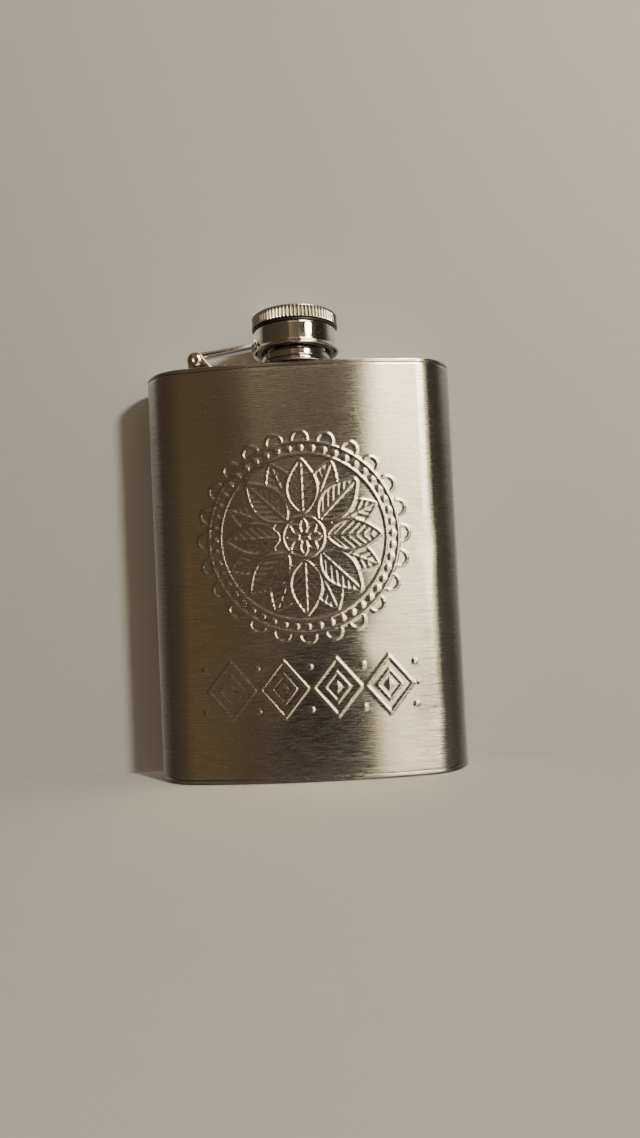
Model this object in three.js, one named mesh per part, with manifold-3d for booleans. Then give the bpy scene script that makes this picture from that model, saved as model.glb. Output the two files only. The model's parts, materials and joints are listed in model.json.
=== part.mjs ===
// Hip flask with a captive screw cap, about 230 ml, as an assembly of its separate pieces.
// Millimetres, +Z up along the neck. The origin is on the underside of the bottom plate, below the
// neck's axis. The bowed front faces -Y, the hollow back faces +Y, and the hinge is on the -X side.
import * as THREE from "three";
import { mergeVertices } from "three/addons/utils/BufferGeometryUtils.js";
import Module from "manifold-3d";

const wasm = await Module();
wasm.setup();

// ---- Driving dimensions ----
// Body: a sheet steel wall wrapped round a bowed outline, closed by two end plates
const BODY_HEIGHT = 123;
const BODY_WIDTH = 94;
const MID_THICKNESS = 19.6; // front to back at the middle of the width
const FRONT_CORNER_R = 14.3; // turns the front into the side
const REAR_CORNER_R = 7.5; // turns the side into the hollow back
const SIDE_Y = 7.3; // how far behind the neck's axis the sides are widest
const SHEET = 0.8;
const PLATE = 1.2;
const PLATE_EDGE_R = 0.45; // rounding on the plates' rims
const SEAM_GAP = 0.05; // between pieces that are welded face to face
const SEAM_WIDTH = 0.9; // weld that closes the wrapped wall on its +X side

// Raised ornament on the front
const RELIEF = 0.5;
const MEDALLION_Z = 71;
const MEDALLION_R = 28.5;
const ROW_Z = 27;
const LINE = 1.1; // width of a raised line
const PETALS = 8;
const LOZENGES = 4;
const LOZENGE_PITCH = 15.6;

// Neck: one turned piece with a flange, a collar and a threaded spout
const BORE_R = 6.6;
const TAIL_R = 8.2;
const TAIL_DEPTH = 3.4;
const FLANGE_R = 10.8;
const FLANGE_TOP = 1.3;
const COLLAR_R = 10.3;
const COLLAR_BOTTOM = 1.7;
const COLLAR_TOP = 3.8;
const SPOUT_R = 8.4;
const SPOUT_TOP = 10.6;
const THREAD_PITCH = 2;
const SPOUT_THREAD_R = 9.1;
const NECK_WELD_R = 11.5;

// Hinge on the top plate
const PIN_X = -30.3;
const PIN_Z = 3.4; // above the top of the body
const PIN_R = 1.1;
const PIN_HEAD_R = 1.9;
const PIN_HEAD = 0.6;
const EAR_R = 2.45;
const EAR = 0.9; // thickness of the bracket's sheet
const EAR_GAP = 0.2; // clearance between the knuckle and each ear
const BRACKET_FOOT_X = -25.2;

// Arm: a strip rolled round the pin, ending in a saddle that is welded to the cap's sleeve
const ARM_WIDTH = 5;
const ARM_SHEET = 0.9;
const KNUCKLE_R = 2.35;
const ARM_END_TOP = 8.0; // top of the strip where it meets the sleeve
const SADDLE_ANGLE = 0.44; // half the angle that the saddle wraps
const SADDLE_HEIGHT = 2.2;
const SADDLE_SHEET = 0.8;

// Sleeve that the cap turns in
const SLEEVE_R = 12.5;
const SLEEVE_SHEET = 0.6;
const SLEEVE_BOTTOM = 4.4;
const SLEEVE_TOP = 11.2;
const LIP_R = 13.2;
const SLEEVE_STOP_R = 11.4; // inward lip at its top, which holds the retaining ring back
const RING_R = 11.75;
const RING_HEIGHT = 0.8;

// Cap
const KNURLS = 72;
const HEAD_R = 13.2;
const KNURL_DEPTH = 0.4;
const HEAD_BOTTOM = 12.1;
const KNURL_TOP = 15.3;
const HEAD_TOP = 16.2;
const HEAD_SHEET = 0.8;
const INSERT_R = 11.05;
const INSERT_BORE_R = 10.6;
const INSERT_THREAD_R = 10.2;
const INSERT_BOTTOM = 4.7;
const GASKET_BOTTOM = 10.9;
const GASKET = 1.3;
const RUN = 0.1; // clearance between round pieces that nest

const ROUND = 36; // sides of a turned piece
const Z_TOP = BODY_HEIGHT; // heights of the neck, hinge and cap are counted from here

// ---- Helpers ----
function solid(geometry) {
  const bare = geometry.index ? geometry.toNonIndexed() : geometry.clone();
  bare.deleteAttribute("normal");
  bare.deleteAttribute("uv");
  const merged = mergeVertices(bare, 1e-4);
  return new wasm.Manifold(
    new wasm.Mesh({
      numProp: 3,
      vertProperties: merged.attributes.position.array,
      triVerts: new Uint32Array(merged.index.array),
    }),
  );
}

function geometryOf(body) {
  const mesh = body.getMesh();
  const geometry = new THREE.BufferGeometry();
  geometry.setAttribute("position", new THREE.BufferAttribute(mesh.vertProperties, 3));
  geometry.setIndex(new THREE.BufferAttribute(mesh.triVerts, 1));
  return geometry.toNonIndexed();
}

function join(first, ...rest) {
  return rest.reduce((sum, body) => sum.add(body), first);
}

// A turned body from [radius, height] pairs that run round its section, heights above the body's top.
function turned(section, sides = ROUND) {
  const points = section.map(([r, z]) => new THREE.Vector2(r, z + Z_TOP));
  points.push(points[0].clone());
  return new THREE.LatheGeometry(points, sides).rotateX(Math.PI / 2);
}

// A washer-like ring between two radii and two heights.
function ring(inner, outer, low, high) {
  return turned([
    [inner, low],
    [outer, low],
    [outer, high],
    [inner, high],
  ]);
}

// A flat shape drawn in X and Z, extruded along Y between two depths.
function acrossY(shape, front, back, segments = 8) {
  const options = { depth: back - front, bevelEnabled: false, curveSegments: segments };
  const geometry = new THREE.ExtrudeGeometry(shape, options);
  geometry.rotateX(Math.PI / 2);
  return geometry.translate(0, back, 0);
}

// A ridge that winds along a helix: [radius, height] pairs give its section, from the root outwards.
function helicalRidge(rootR, crestR, startZ, turns) {
  const steps = Math.round(turns * ROUND);
  const rootHalf = THREAD_PITCH * 0.36;
  const crestHalf = THREAD_PITCH * 0.12;
  const fadeSteps = ROUND / 6;
  const positions = [];
  const index = [];
  for (let i = 0; i <= steps; i++) {
    const angle = (i / ROUND) * 2 * Math.PI;
    const z = Z_TOP + startZ + (i / ROUND) * THREAD_PITCH;
    const fade = Math.min(1, (Math.min(i, steps - i) + 0.5) / fadeSteps);
    const crest = rootR + (crestR - rootR) * fade;
    const section = [
      [rootR, z - rootHalf],
      [crest, z - crestHalf],
      [crest, z + crestHalf],
      [rootR, z + rootHalf],
    ];
    for (const [r, h] of section) positions.push(r * Math.cos(angle), r * Math.sin(angle), h);
  }
  const outward = crestR > rootR;
  const face = (a, b, c) => index.push(...(outward ? [a, b, c] : [a, c, b]));
  for (let i = 0; i < steps; i++) {
    for (let k = 0; k < 4; k++) {
      const a = 4 * i + k;
      const b = 4 * i + ((k + 1) % 4);
      face(a, a + 4, b);
      face(b, a + 4, b + 4);
    }
  }
  const last = 4 * steps;
  face(0, 1, 2);
  face(0, 2, 3);
  face(last, last + 2, last + 1);
  face(last, last + 3, last + 2);
  const geometry = new THREE.BufferGeometry();
  geometry.setAttribute("position", new THREE.Float32BufferAttribute(positions, 3));
  geometry.setIndex(index);
  return geometry;
}

// ---- Materials ----
const finish = (color, roughness, metalness) =>
  new THREE.MeshStandardMaterial({ color, roughness, metalness });
const brushedSteel = () => finish(0xa39c90, 0.38, 1);
const polishedSteel = () => finish(0xc9c4ba, 0.08, 1);
const plainSteel = () => finish(0xa8a398, 0.3, 1);
const weldSteel = () => finish(0x8d857a, 0.45, 1);
const siliconeRubber = () => finish(0xd9d6cc, 0.6, 0);
const blackPlastic = () => finish(0x1d1a17, 0.5, 0);
const whitePlastic = () => finish(0xe4e1d8, 0.5, 0);

const flask = new THREE.Group();

function piece(name, geometry, material) {
  const mesh = new THREE.Mesh(geometry, material);
  mesh.name = name;
  flask.add(mesh);
}

// ---- Body ----
// The plan outline of the body, moved inwards by inset: a wide front arc, a large and a small corner
// arc at each side, and a hollow back arc, all tangent to each other.
function bodyOutline(inset) {
  const frontY = -MID_THICKNESS / 2;
  const backY = MID_THICKNESS / 2;
  const frontCx = BODY_WIDTH / 2 - FRONT_CORNER_R;
  const rearCx = BODY_WIDTH / 2 - REAR_CORNER_R;
  const rise = SIDE_Y - frontY - FRONT_CORNER_R;
  const frontR = FRONT_CORNER_R + (frontCx ** 2 + rise ** 2) / (2 * rise);
  const sink = backY - SIDE_Y;
  const backR = (rearCx ** 2 + sink ** 2 - REAR_CORNER_R ** 2) / (2 * (REAR_CORNER_R - sink));
  const frontTurn = Math.asin(frontCx / (frontR - FRONT_CORNER_R));
  const backTurn = Math.asin(rearCx / (backR + REAR_CORNER_R));
  const down = -Math.PI / 2;
  const up = Math.PI / 2;
  const front = frontR - inset;
  const back = backR + inset;
  const corner = FRONT_CORNER_R - inset;
  const rear = REAR_CORNER_R - inset;
  const shape = new THREE.Shape();
  shape.absarc(0, frontY + frontR, front, down - frontTurn, down + frontTurn, false);
  shape.absarc(frontCx, SIDE_Y, corner, down + frontTurn, 0, false);
  shape.absarc(rearCx, SIDE_Y, rear, 0, up + backTurn, false);
  shape.absarc(0, backY + backR, back, down + backTurn, down - backTurn, true);
  shape.absarc(-rearCx, SIDE_Y, rear, up - backTurn, Math.PI, false);
  shape.absarc(-frontCx, SIDE_Y, corner, Math.PI, down - frontTurn + 2 * Math.PI, false);
  return shape;
}

const OUTLINE_SEGMENTS = 6;

function outlinePrism(shape, low, high) {
  const options = { depth: high - low, bevelEnabled: false, curveSegments: OUTLINE_SEGMENTS };
  return new THREE.ExtrudeGeometry(shape, options).translate(0, 0, low);
}

function bandPrism(outerInset, innerInset, low, high) {
  const shape = bodyOutline(outerInset);
  shape.holes.push(bodyOutline(innerInset));
  return outlinePrism(shape, low, high);
}

// An end plate with rounded rims, as wide as the wall.
function plateBlank(low) {
  const options = {
    depth: PLATE - 2 * PLATE_EDGE_R,
    bevelThickness: PLATE_EDGE_R,
    bevelSize: PLATE_EDGE_R,
    bevelOffset: -PLATE_EDGE_R,
    bevelSegments: 2,
    curveSegments: OUTLINE_SEGMENTS,
  };
  const geometry = new THREE.ExtrudeGeometry(bodyOutline(0), options);
  return geometry.translate(0, 0, low + PLATE_EDGE_R);
}

function circleLine(radius) {
  const shape = new THREE.Shape();
  shape.absarc(0, MEDALLION_Z, radius, 0, 2 * Math.PI, false);
  const hole = new THREE.Path();
  hole.absarc(0, MEDALLION_Z, radius - LINE, 0, 2 * Math.PI, true);
  shape.holes.push(hole);
  return shape;
}

// One pointed petal of the rosette, drawn as a closed line at an angle round the medallion's centre.
function petalLine(turn, inner, outer, halfWidth) {
  const at = (r, side) => {
    const x = r * Math.cos(turn) - side * Math.sin(turn);
    const z = r * Math.sin(turn) + side * Math.cos(turn);
    return [x, MEDALLION_Z + z];
  };
  const middle = (inner + outer) / 2;
  const leaf = (target, shrink) => {
    const near = inner + 2 * shrink;
    const far = outer - 2 * shrink;
    const side = 2 * (halfWidth - shrink);
    target.moveTo(...at(near, 0));
    target.quadraticCurveTo(...at(middle, -side), ...at(far, 0));
    target.quadraticCurveTo(...at(middle, side), ...at(near, 0));
  };
  const shape = new THREE.Shape();
  leaf(shape, 0);
  const hole = new THREE.Path();
  leaf(hole, LINE * 0.8);
  shape.holes.push(hole);
  return shape;
}

function lozengeLine(x) {
  const diamond = (target, half, tall) => {
    target.moveTo(x - half, ROW_Z);
    target.lineTo(x, ROW_Z - tall);
    target.lineTo(x + half, ROW_Z);
    target.lineTo(x, ROW_Z + tall);
    target.closePath();
  };
  const shape = new THREE.Shape();
  diamond(shape, 7, 8.5);
  const hole = new THREE.Path();
  diamond(hole, 7 - LINE * 1.3, 8.5 - LINE * 1.58);
  shape.holes.push(hole);
  return shape;
}

// The pressed ornament: a ringed rosette above a row of lozenges, standing RELIEF proud of the front.
function ornament() {
  const lines = [circleLine(MEDALLION_R), circleLine(MEDALLION_R - 3.2), circleLine(5.5)];
  for (let i = 0; i < PETALS; i++) {
    lines.push(petalLine((i / PETALS) * 2 * Math.PI, 5.1, 24.8, 4.4));
  }
  for (let i = 0; i < LOZENGES; i++) {
    lines.push(lozengeLine((i - (LOZENGES - 1) / 2) * LOZENGE_PITCH));
  }
  const front = -MID_THICKNESS;
  const prisms = lines.map((line) => solid(acrossY(line, front, 0, 12)));
  const skin = solid(bandPrism(-RELIEF, SHEET / 2, 10, BODY_HEIGHT - 10));
  return join(...prisms).intersect(skin);
}

function bodyWall() {
  const low = PLATE + SEAM_GAP;
  const high = BODY_HEIGHT - PLATE - SEAM_GAP;
  const wall = solid(bandPrism(0, SHEET, low, high));
  const slot = new THREE.BoxGeometry(4 * SHEET, SEAM_WIDTH, BODY_HEIGHT);
  slot.translate(BODY_WIDTH / 2, SIDE_Y + 3, BODY_HEIGHT / 2);
  return wall.subtract(solid(slot)).add(ornament());
}

// The weld that fills the slot where the two edges of the wrapped sheet meet.
function sideSeam() {
  const low = PLATE + SEAM_GAP;
  const high = BODY_HEIGHT - PLATE - SEAM_GAP;
  const skin = solid(bandPrism(-0.1, SHEET, low, high));
  const fill = new THREE.BoxGeometry(4 * SHEET, SEAM_WIDTH - 2 * SEAM_GAP, BODY_HEIGHT);
  fill.translate(BODY_WIDTH / 2, SIDE_Y + 3, BODY_HEIGHT / 2);
  return skin.intersect(solid(fill));
}

function topPlate() {
  const hole = ring(0, TAIL_R + RUN, -2 * PLATE, PLATE);
  return solid(plateBlank(BODY_HEIGHT - PLATE)).subtract(solid(hole));
}

piece("body_wall", geometryOf(bodyWall()), brushedSteel());
piece("side_seam_weld", geometryOf(sideSeam()), weldSteel());
piece("bottom_plate", plateBlank(0), brushedSteel());
piece("top_plate", geometryOf(topPlate()), brushedSteel());

// ---- Neck ----
function threadedNeck() {
  const round = 0.25;
  const tip = 0.6;
  const section = [
    [BORE_R, -TAIL_DEPTH],
    [TAIL_R, -TAIL_DEPTH],
    [TAIL_R, SEAM_GAP],
    [FLANGE_R, SEAM_GAP],
    [FLANGE_R, FLANGE_TOP - round],
    [FLANGE_R - round, FLANGE_TOP],
    [COLLAR_R - 0.8, FLANGE_TOP],
    [COLLAR_R - 0.8, COLLAR_BOTTOM],
    [COLLAR_R - round, COLLAR_BOTTOM],
    [COLLAR_R, COLLAR_BOTTOM + round],
    [COLLAR_R, COLLAR_TOP - round],
    [COLLAR_R - round, COLLAR_TOP],
    [SPOUT_R, COLLAR_TOP],
    [SPOUT_R, SPOUT_TOP - tip],
    [SPOUT_R - tip, SPOUT_TOP],
    [BORE_R, SPOUT_TOP],
  ];
  const ridge = helicalRidge(SPOUT_R - 0.2, SPOUT_THREAD_R, COLLAR_TOP + 1.3, 2);
  return solid(turned(section)).add(solid(ridge));
}

function neckWeld() {
  return turned([
    [FLANGE_R + RUN, SEAM_GAP],
    [NECK_WELD_R, SEAM_GAP],
    [NECK_WELD_R - 0.15, 0.35],
    [FLANGE_R + RUN, 0.65],
  ]);
}

piece("threaded_neck", geometryOf(threadedNeck()), polishedSteel());
piece("neck_weld", neckWeld(), weldSteel());

// ---- Hinge ----
const EAR_INSIDE = ARM_WIDTH / 2 + EAR_GAP;
const EAR_OUTSIDE = EAR_INSIDE + EAR;

// One ear of the bracket seen from the front: round over the pin, with a foot that slopes down to the
// top plate on the cap's side.
function earOutline() {
  const z = Z_TOP + PIN_Z;
  const base = Z_TOP + SEAM_GAP;
  const shape = new THREE.Shape();
  shape.moveTo(PIN_X - EAR_R * 0.7, base);
  shape.lineTo(BRACKET_FOOT_X, base);
  shape.lineTo(BRACKET_FOOT_X, base + EAR);
  shape.absarc(PIN_X, z, EAR_R, 0.15, Math.PI + 0.2, false);
  shape.closePath();
  const hole = new THREE.Path();
  hole.absarc(PIN_X, z, PIN_R + RUN / 2, 0, 2 * Math.PI, true);
  shape.holes.push(hole);
  return shape;
}

function hingeBracket() {
  const front = solid(acrossY(earOutline(), -EAR_OUTSIDE, -EAR_INSIDE));
  const back = solid(acrossY(earOutline(), EAR_INSIDE, EAR_OUTSIDE));
  const left = PIN_X - EAR_R * 0.7;
  const thickness = 0.6;
  const floor = new THREE.BoxGeometry(BRACKET_FOOT_X - left, 2 * EAR_INSIDE + EAR, thickness);
  floor.translate((BRACKET_FOOT_X + left) / 2, 0, Z_TOP + SEAM_GAP + thickness / 2);
  return join(solid(floor), front, back);
}

// A rivet: a shank with a head outside each ear, turned about its own axis and laid along Y.
function hingePin() {
  const end = EAR_OUTSIDE + 0.1;
  const round = 0.25;
  const half = [
    [PIN_R, end],
    [PIN_HEAD_R, end],
    [PIN_HEAD_R, end + PIN_HEAD - round],
    [PIN_HEAD_R - round, end + PIN_HEAD],
    [0, end + PIN_HEAD + 0.1],
  ];
  const points = [...half.map(([r, y]) => [r, -y]).reverse(), ...half];
  const profile = points.map(([r, y]) => new THREE.Vector2(r, y));
  return new THREE.LatheGeometry(profile, 24).translate(PIN_X, 0, Z_TOP + PIN_Z);
}

piece("hinge_bracket", geometryOf(hingeBracket()), plainSteel());
piece("hinge_pin", hingePin(), polishedSteel());

// ---- Arm and sleeve ----
const SADDLE_INNER_R = SLEEVE_R + RUN;
const SADDLE_OUTER_R = SADDLE_INNER_R + SADDLE_SHEET;

// The strip seen from the front: rolled round the pin at one end, and rising to the sleeve.
function stripOutline() {
  const z = Z_TOP + PIN_Z;
  const endX = -SADDLE_OUTER_R + SADDLE_SHEET / 2;
  const endTop = Z_TOP + ARM_END_TOP;
  const slope = Math.atan2(endTop - z - KNUCKLE_R, endX - PIN_X);
  const tangent = Math.PI / 2 + slope;
  const under = ARM_SHEET / Math.cos(slope);
  const shape = new THREE.Shape();
  shape.moveTo(endX, endTop - under);
  shape.lineTo(endX, endTop);
  shape.absarc(PIN_X, z, KNUCKLE_R, tangent, 2 * Math.PI, false);
  shape.absarc(PIN_X, z, KNUCKLE_R, 0, 0.5, false);
  shape.closePath();
  const hole = new THREE.Path();
  hole.absarc(PIN_X, z, PIN_R + RUN, 0, 2 * Math.PI, true);
  shape.holes.push(hole);
  return shape;
}

function saddle() {
  const middle = Math.PI;
  const shape = new THREE.Shape();
  shape.absarc(0, 0, SADDLE_OUTER_R, middle - SADDLE_ANGLE, middle + SADDLE_ANGLE, false);
  shape.absarc(0, 0, SADDLE_INNER_R, middle + SADDLE_ANGLE, middle - SADDLE_ANGLE, true);
  const options = { depth: SADDLE_HEIGHT, bevelEnabled: false, curveSegments: 6 };
  const low = Z_TOP + ARM_END_TOP - SADDLE_HEIGHT;
  return new THREE.ExtrudeGeometry(shape, options).translate(0, 0, low);
}

function armStrip() {
  const strip = solid(acrossY(stripOutline(), -ARM_WIDTH / 2, ARM_WIDTH / 2, 10));
  return strip.add(solid(saddle()));
}

// Smooth outer sleeve with a flared lip below and an inward lip above.
function capSleeve() {
  const inner = SLEEVE_R - SLEEVE_SHEET;
  const lipTop = SLEEVE_BOTTOM + 1.1;
  const topRound = 0.3;
  return turned([
    [LIP_R - 0.5, SLEEVE_BOTTOM],
    [LIP_R, SLEEVE_BOTTOM + 0.25],
    [LIP_R, SLEEVE_BOTTOM + 0.55],
    [SLEEVE_R, lipTop],
    [SLEEVE_R, SLEEVE_TOP - topRound],
    [SLEEVE_R - topRound, SLEEVE_TOP],
    [SLEEVE_STOP_R, SLEEVE_TOP],
    [SLEEVE_STOP_R, SLEEVE_TOP - SLEEVE_SHEET],
    [inner, SLEEVE_TOP - SLEEVE_SHEET],
    [inner, lipTop - 0.3],
  ]);
}

// A bead of weld at one end of the saddle, on the side given by sign.
function saddleWeld(sign) {
  const radius = 0.45;
  const height = SADDLE_HEIGHT - 0.6;
  const bead = new THREE.CapsuleGeometry(radius, height - 2 * radius, 3, 8);
  const angle = Math.PI + sign * (SADDLE_ANGLE + 0.05);
  const r = SLEEVE_R + radius + RUN;
  bead.rotateX(Math.PI / 2);
  const z = Z_TOP + ARM_END_TOP - SADDLE_HEIGHT / 2;
  return bead.translate(r * Math.cos(angle), r * Math.sin(angle), z);
}

piece("arm_strip", geometryOf(armStrip()), plainSteel());
piece("cap_sleeve", capSleeve(), polishedSteel());
piece("saddle_weld_front", saddleWeld(1), weldSteel());
piece("saddle_weld_back", saddleWeld(-1), weldSteel());
piece("slip_washer", ring(SLEEVE_STOP_R, 12.6, SLEEVE_TOP + RUN, HEAD_BOTTOM - RUN), blackPlastic());

// ---- Cap ----
// The knurled band: broad flat ribs with narrow grooves between them.
function knurlOutline() {
  const shape = new THREE.Shape();
  const step = (2 * Math.PI) / KNURLS;
  for (let i = 0; i < KNURLS; i++) {
    const rib = [
      [-0.3, HEAD_R],
      [0.3, HEAD_R],
      [0.5, HEAD_R - KNURL_DEPTH],
    ];
    for (const [share, r] of rib) {
      const angle = (i + share) * step;
      const x = r * Math.cos(angle);
      const y = r * Math.sin(angle);
      if (i === 0 && share < 0) shape.moveTo(x, y);
      else shape.lineTo(x, y);
    }
  }
  shape.closePath();
  return shape;
}

function capHead() {
  const options = { depth: KNURL_TOP - HEAD_BOTTOM, bevelEnabled: false };
  const band = new THREE.ExtrudeGeometry(knurlOutline(), options);
  band.translate(0, 0, Z_TOP + HEAD_BOTTOM);
  const rim = HEAD_R - KNURL_DEPTH;
  const dome = turned([
    [0, HEAD_BOTTOM + 0.5],
    [rim, HEAD_BOTTOM + 0.5],
    [rim, KNURL_TOP + 0.2],
    [rim - 0.25, HEAD_TOP - 0.3],
    [rim - 0.9, HEAD_TOP],
    [0, HEAD_TOP],
  ]);
  const inner = rim - HEAD_SHEET;
  const hollow = ring(0, inner, HEAD_BOTTOM - 1, HEAD_TOP - HEAD_SHEET);
  return solid(band).add(solid(dome)).subtract(solid(hollow));
}

// The plug that fills the head and is pressed into the top of the threaded insert.
function capCore() {
  const outer = HEAD_R - KNURL_DEPTH - HEAD_SHEET - RUN;
  const step = HEAD_BOTTOM + RUN;
  const boss = GASKET_BOTTOM + GASKET + RUN;
  return turned([
    [0, boss],
    [INSERT_BORE_R - RUN, boss],
    [INSERT_BORE_R - RUN, step + 1],
    [outer, step + 1],
    [outer, HEAD_TOP - HEAD_SHEET - RUN],
    [0, HEAD_TOP - HEAD_SHEET - RUN],
  ]);
}

function threadedInsert() {
  const top = HEAD_BOTTOM + RUN + 0.9;
  const tube = ring(INSERT_BORE_R, INSERT_R, INSERT_BOTTOM, top);
  const ridge = helicalRidge(INSERT_BORE_R + 0.2, INSERT_THREAD_R, INSERT_BOTTOM + 1.2, 2);
  return solid(tube).add(solid(ridge));
}

const ringLow = INSERT_BOTTOM + 0.1;
piece("retaining_ring", ring(INSERT_R + RUN, RING_R, ringLow, ringLow + RING_HEIGHT), plainSteel());
piece("threaded_insert", geometryOf(threadedInsert()), plainSteel());
const gasketOuter = INSERT_BORE_R - 2 * RUN;
piece("gasket", ring(3, gasketOuter, GASKET_BOTTOM, GASKET_BOTTOM + GASKET), siliconeRubber());
piece("cap_core", capCore(), whitePlastic());
piece("cap_head", geometryOf(capHead()), polishedSteel());

export default flask;
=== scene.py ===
# %% [markdown]
# # A steel hip flask with a captive screw cap
# The flask is a wrapped sheet of brushed stainless steel, closed by two end plates. A turned neck, a
# hinged arm and a knurled cap in a polished sleeve sit on its top. This lesson takes the plain working
# model as its frame and builds each piece again with a fine surface, in the same place and at the same
# size, and then gives every piece the finish that such a flask has.

# %% Load the working model
import json
import math

import bmesh
import bpy
import numpy as np
from mathutils import Euler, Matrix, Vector


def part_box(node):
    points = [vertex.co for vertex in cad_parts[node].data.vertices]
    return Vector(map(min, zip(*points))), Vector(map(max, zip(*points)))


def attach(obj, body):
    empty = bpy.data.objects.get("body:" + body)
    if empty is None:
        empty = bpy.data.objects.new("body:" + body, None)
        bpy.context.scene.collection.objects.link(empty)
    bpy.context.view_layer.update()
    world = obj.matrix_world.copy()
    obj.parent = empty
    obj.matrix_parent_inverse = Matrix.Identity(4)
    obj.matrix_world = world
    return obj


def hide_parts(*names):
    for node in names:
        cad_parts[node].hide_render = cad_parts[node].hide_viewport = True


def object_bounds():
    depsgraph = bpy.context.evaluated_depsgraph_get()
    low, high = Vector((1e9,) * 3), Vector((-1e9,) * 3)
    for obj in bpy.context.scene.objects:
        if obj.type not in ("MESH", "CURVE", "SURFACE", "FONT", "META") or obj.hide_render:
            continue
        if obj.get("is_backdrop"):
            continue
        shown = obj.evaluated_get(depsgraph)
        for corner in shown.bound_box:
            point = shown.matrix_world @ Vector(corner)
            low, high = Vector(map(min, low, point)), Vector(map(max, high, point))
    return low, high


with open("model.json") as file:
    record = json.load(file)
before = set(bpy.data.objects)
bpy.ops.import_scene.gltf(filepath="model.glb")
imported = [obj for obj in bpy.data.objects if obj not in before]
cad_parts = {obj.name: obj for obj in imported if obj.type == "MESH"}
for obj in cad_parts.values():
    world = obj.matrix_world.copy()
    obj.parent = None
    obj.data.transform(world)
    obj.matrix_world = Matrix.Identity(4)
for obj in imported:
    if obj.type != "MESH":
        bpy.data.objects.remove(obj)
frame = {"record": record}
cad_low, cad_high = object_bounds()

MM = 0.001
print("The working model is", [round(v / MM, 1) for v in cad_high - cad_low], "mm")


# %% [markdown]
# ## Sizes
# Every height and radius is read from the working model, so that the fine pieces can't drift away from
# it. `low` and `high` give a piece's corners in millimetres. Only what a box can't tell, such as a
# corner's radius, is stated here as a number.

# %% Read the sizes
def low(node):
    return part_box(node)[0] / MM


def high(node):
    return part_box(node)[1] / MM


WALL_LOW = low("body_wall").z
WALL_HIGH = high("body_wall").z
TOP = high("top_plate").z
WIDTH = 2 * high("body_wall").x
BACK_Y = high("body_wall").y
MID_THICKNESS = 19.6  # front to back, in the middle of the width
SHEET = 0.8  # the wall's own thickness
FRONT_CORNER = 14.3  # radius of the outline's front corners
REAR_CORNER = 7.5  # radius of its rear corners
SIDE_Y = BACK_Y - REAR_CORNER  # where the sides are widest
SLEEVE_R = 12.5  # outside of the polished sleeve
STOP_R = 11.4  # hole in the sleeve's turned-in top
PIN_X = (low("hinge_pin").x + high("hinge_pin").x) / 2
PIN_Z = (low("hinge_pin").z + high("hinge_pin").z) / 2
print("Body", round(WIDTH, 1), "mm wide; the pin is", round(PIN_Z - TOP, 2), "mm above its top")


# %% [markdown]
# ## Helpers for meshes
# A round piece is made as a lathe would make it: a section is drawn as radius and height pairs, its
# corners are eased by small arcs, because no real edge is perfectly sharp, and it is spun round the
# neck's axis. `place` turns points and faces into an object in metres, rides it on its body, and hides
# the plain node that it stands for. `lathed` does all of it in one go.

# %% Make and place a mesh
ROUND = 160  # sides of a turned piece


def place(name, points, faces, node, material, sharp=40):
    body = next(b for b, nodes in frame["record"]["behaviour"]["bodies"].items() if node in nodes)
    mesh = bpy.data.meshes.new(name)
    mesh.from_pydata([(x * MM, y * MM, z * MM) for x, y, z in points], [], faces)
    mesh.validate()
    mesh.polygons.foreach_set("use_smooth", [True] * len(mesh.polygons))
    mesh.set_sharp_from_angle(angle=math.radians(sharp))
    thing = bpy.data.objects.new(name, mesh)
    bpy.context.scene.collection.objects.link(thing)
    mesh.materials.append(material)
    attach(thing, body)
    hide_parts(node)
    print(name, "has", len(mesh.polygons), "faces and rides on", body)


def from_bmesh(name, mesh, node, material, sharp=35):
    bmesh.ops.recalc_face_normals(mesh, faces=mesh.faces)
    mesh.verts.index_update()
    points = [tuple(v.co) for v in mesh.verts]
    faces = [[v.index for v in f.verts] for f in mesh.faces]
    mesh.free()
    place(name, points, faces, node, material, sharp)


def eased(corners, steps=5):
    """A closed section from (radius, height, ease) corners: each ease is a small arc's reach."""
    section = []
    for i, (r, z, ease) in enumerate(corners):
        here = np.array([r, z])
        before = np.array(corners[i - 1][:2]) - here
        after = np.array(corners[(i + 1) % len(corners)][:2]) - here
        if ease <= 0:
            section.append(here)
            continue
        reach = min(ease, 0.48 * np.linalg.norm(before), 0.48 * np.linalg.norm(after))
        start = here + before / np.linalg.norm(before) * reach
        end = here + after / np.linalg.norm(after) * reach
        for t in np.linspace(0, 1, steps + 1):
            section.append((1 - t) ** 2 * start + 2 * t * (1 - t) * here + t**2 * end)
    return section


def split_long(section, longest):
    """The section with its long straight runs cut up, so that a pattern can bend them."""
    fine = []
    for i, here in enumerate(section):
        after = section[(i + 1) % len(section)]
        count = max(1, math.ceil(np.linalg.norm(after - here) / longest))
        fine += [here + (after - here) * k / count for k in range(count)]
    return fine


def spin(section, sides, shape=None):
    """Points and faces of a closed section spun round Z. shape may move each (radius, height, angle)."""
    points = []
    for k in range(sides):
        angle = 2 * math.pi * k / sides
        for r, z in section:
            if shape:
                r, z = shape(r, z, angle)
            points.append((r * math.cos(angle), r * math.sin(angle), z))
    n = len(section)
    faces = []
    for k in range(sides):
        a, b = k * n, (k + 1) % sides * n
        faces += [(a + i, b + i, b + (i + 1) % n, a + (i + 1) % n) for i in range(n)]
    return points, faces


def lathed(piece, corners, steps=5, longest=None, sides=ROUND, shape=None, sharp=40):
    """A turned piece. longest cuts its section fine enough for a shape, such as a thread."""
    section = eased(corners, steps)
    if longest:
        section = split_long(section, longest)
    points, faces = spin(section, sides, shape)
    name, node, slot, material = piece
    place(name, points, faces, node, material, sharp)


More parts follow.
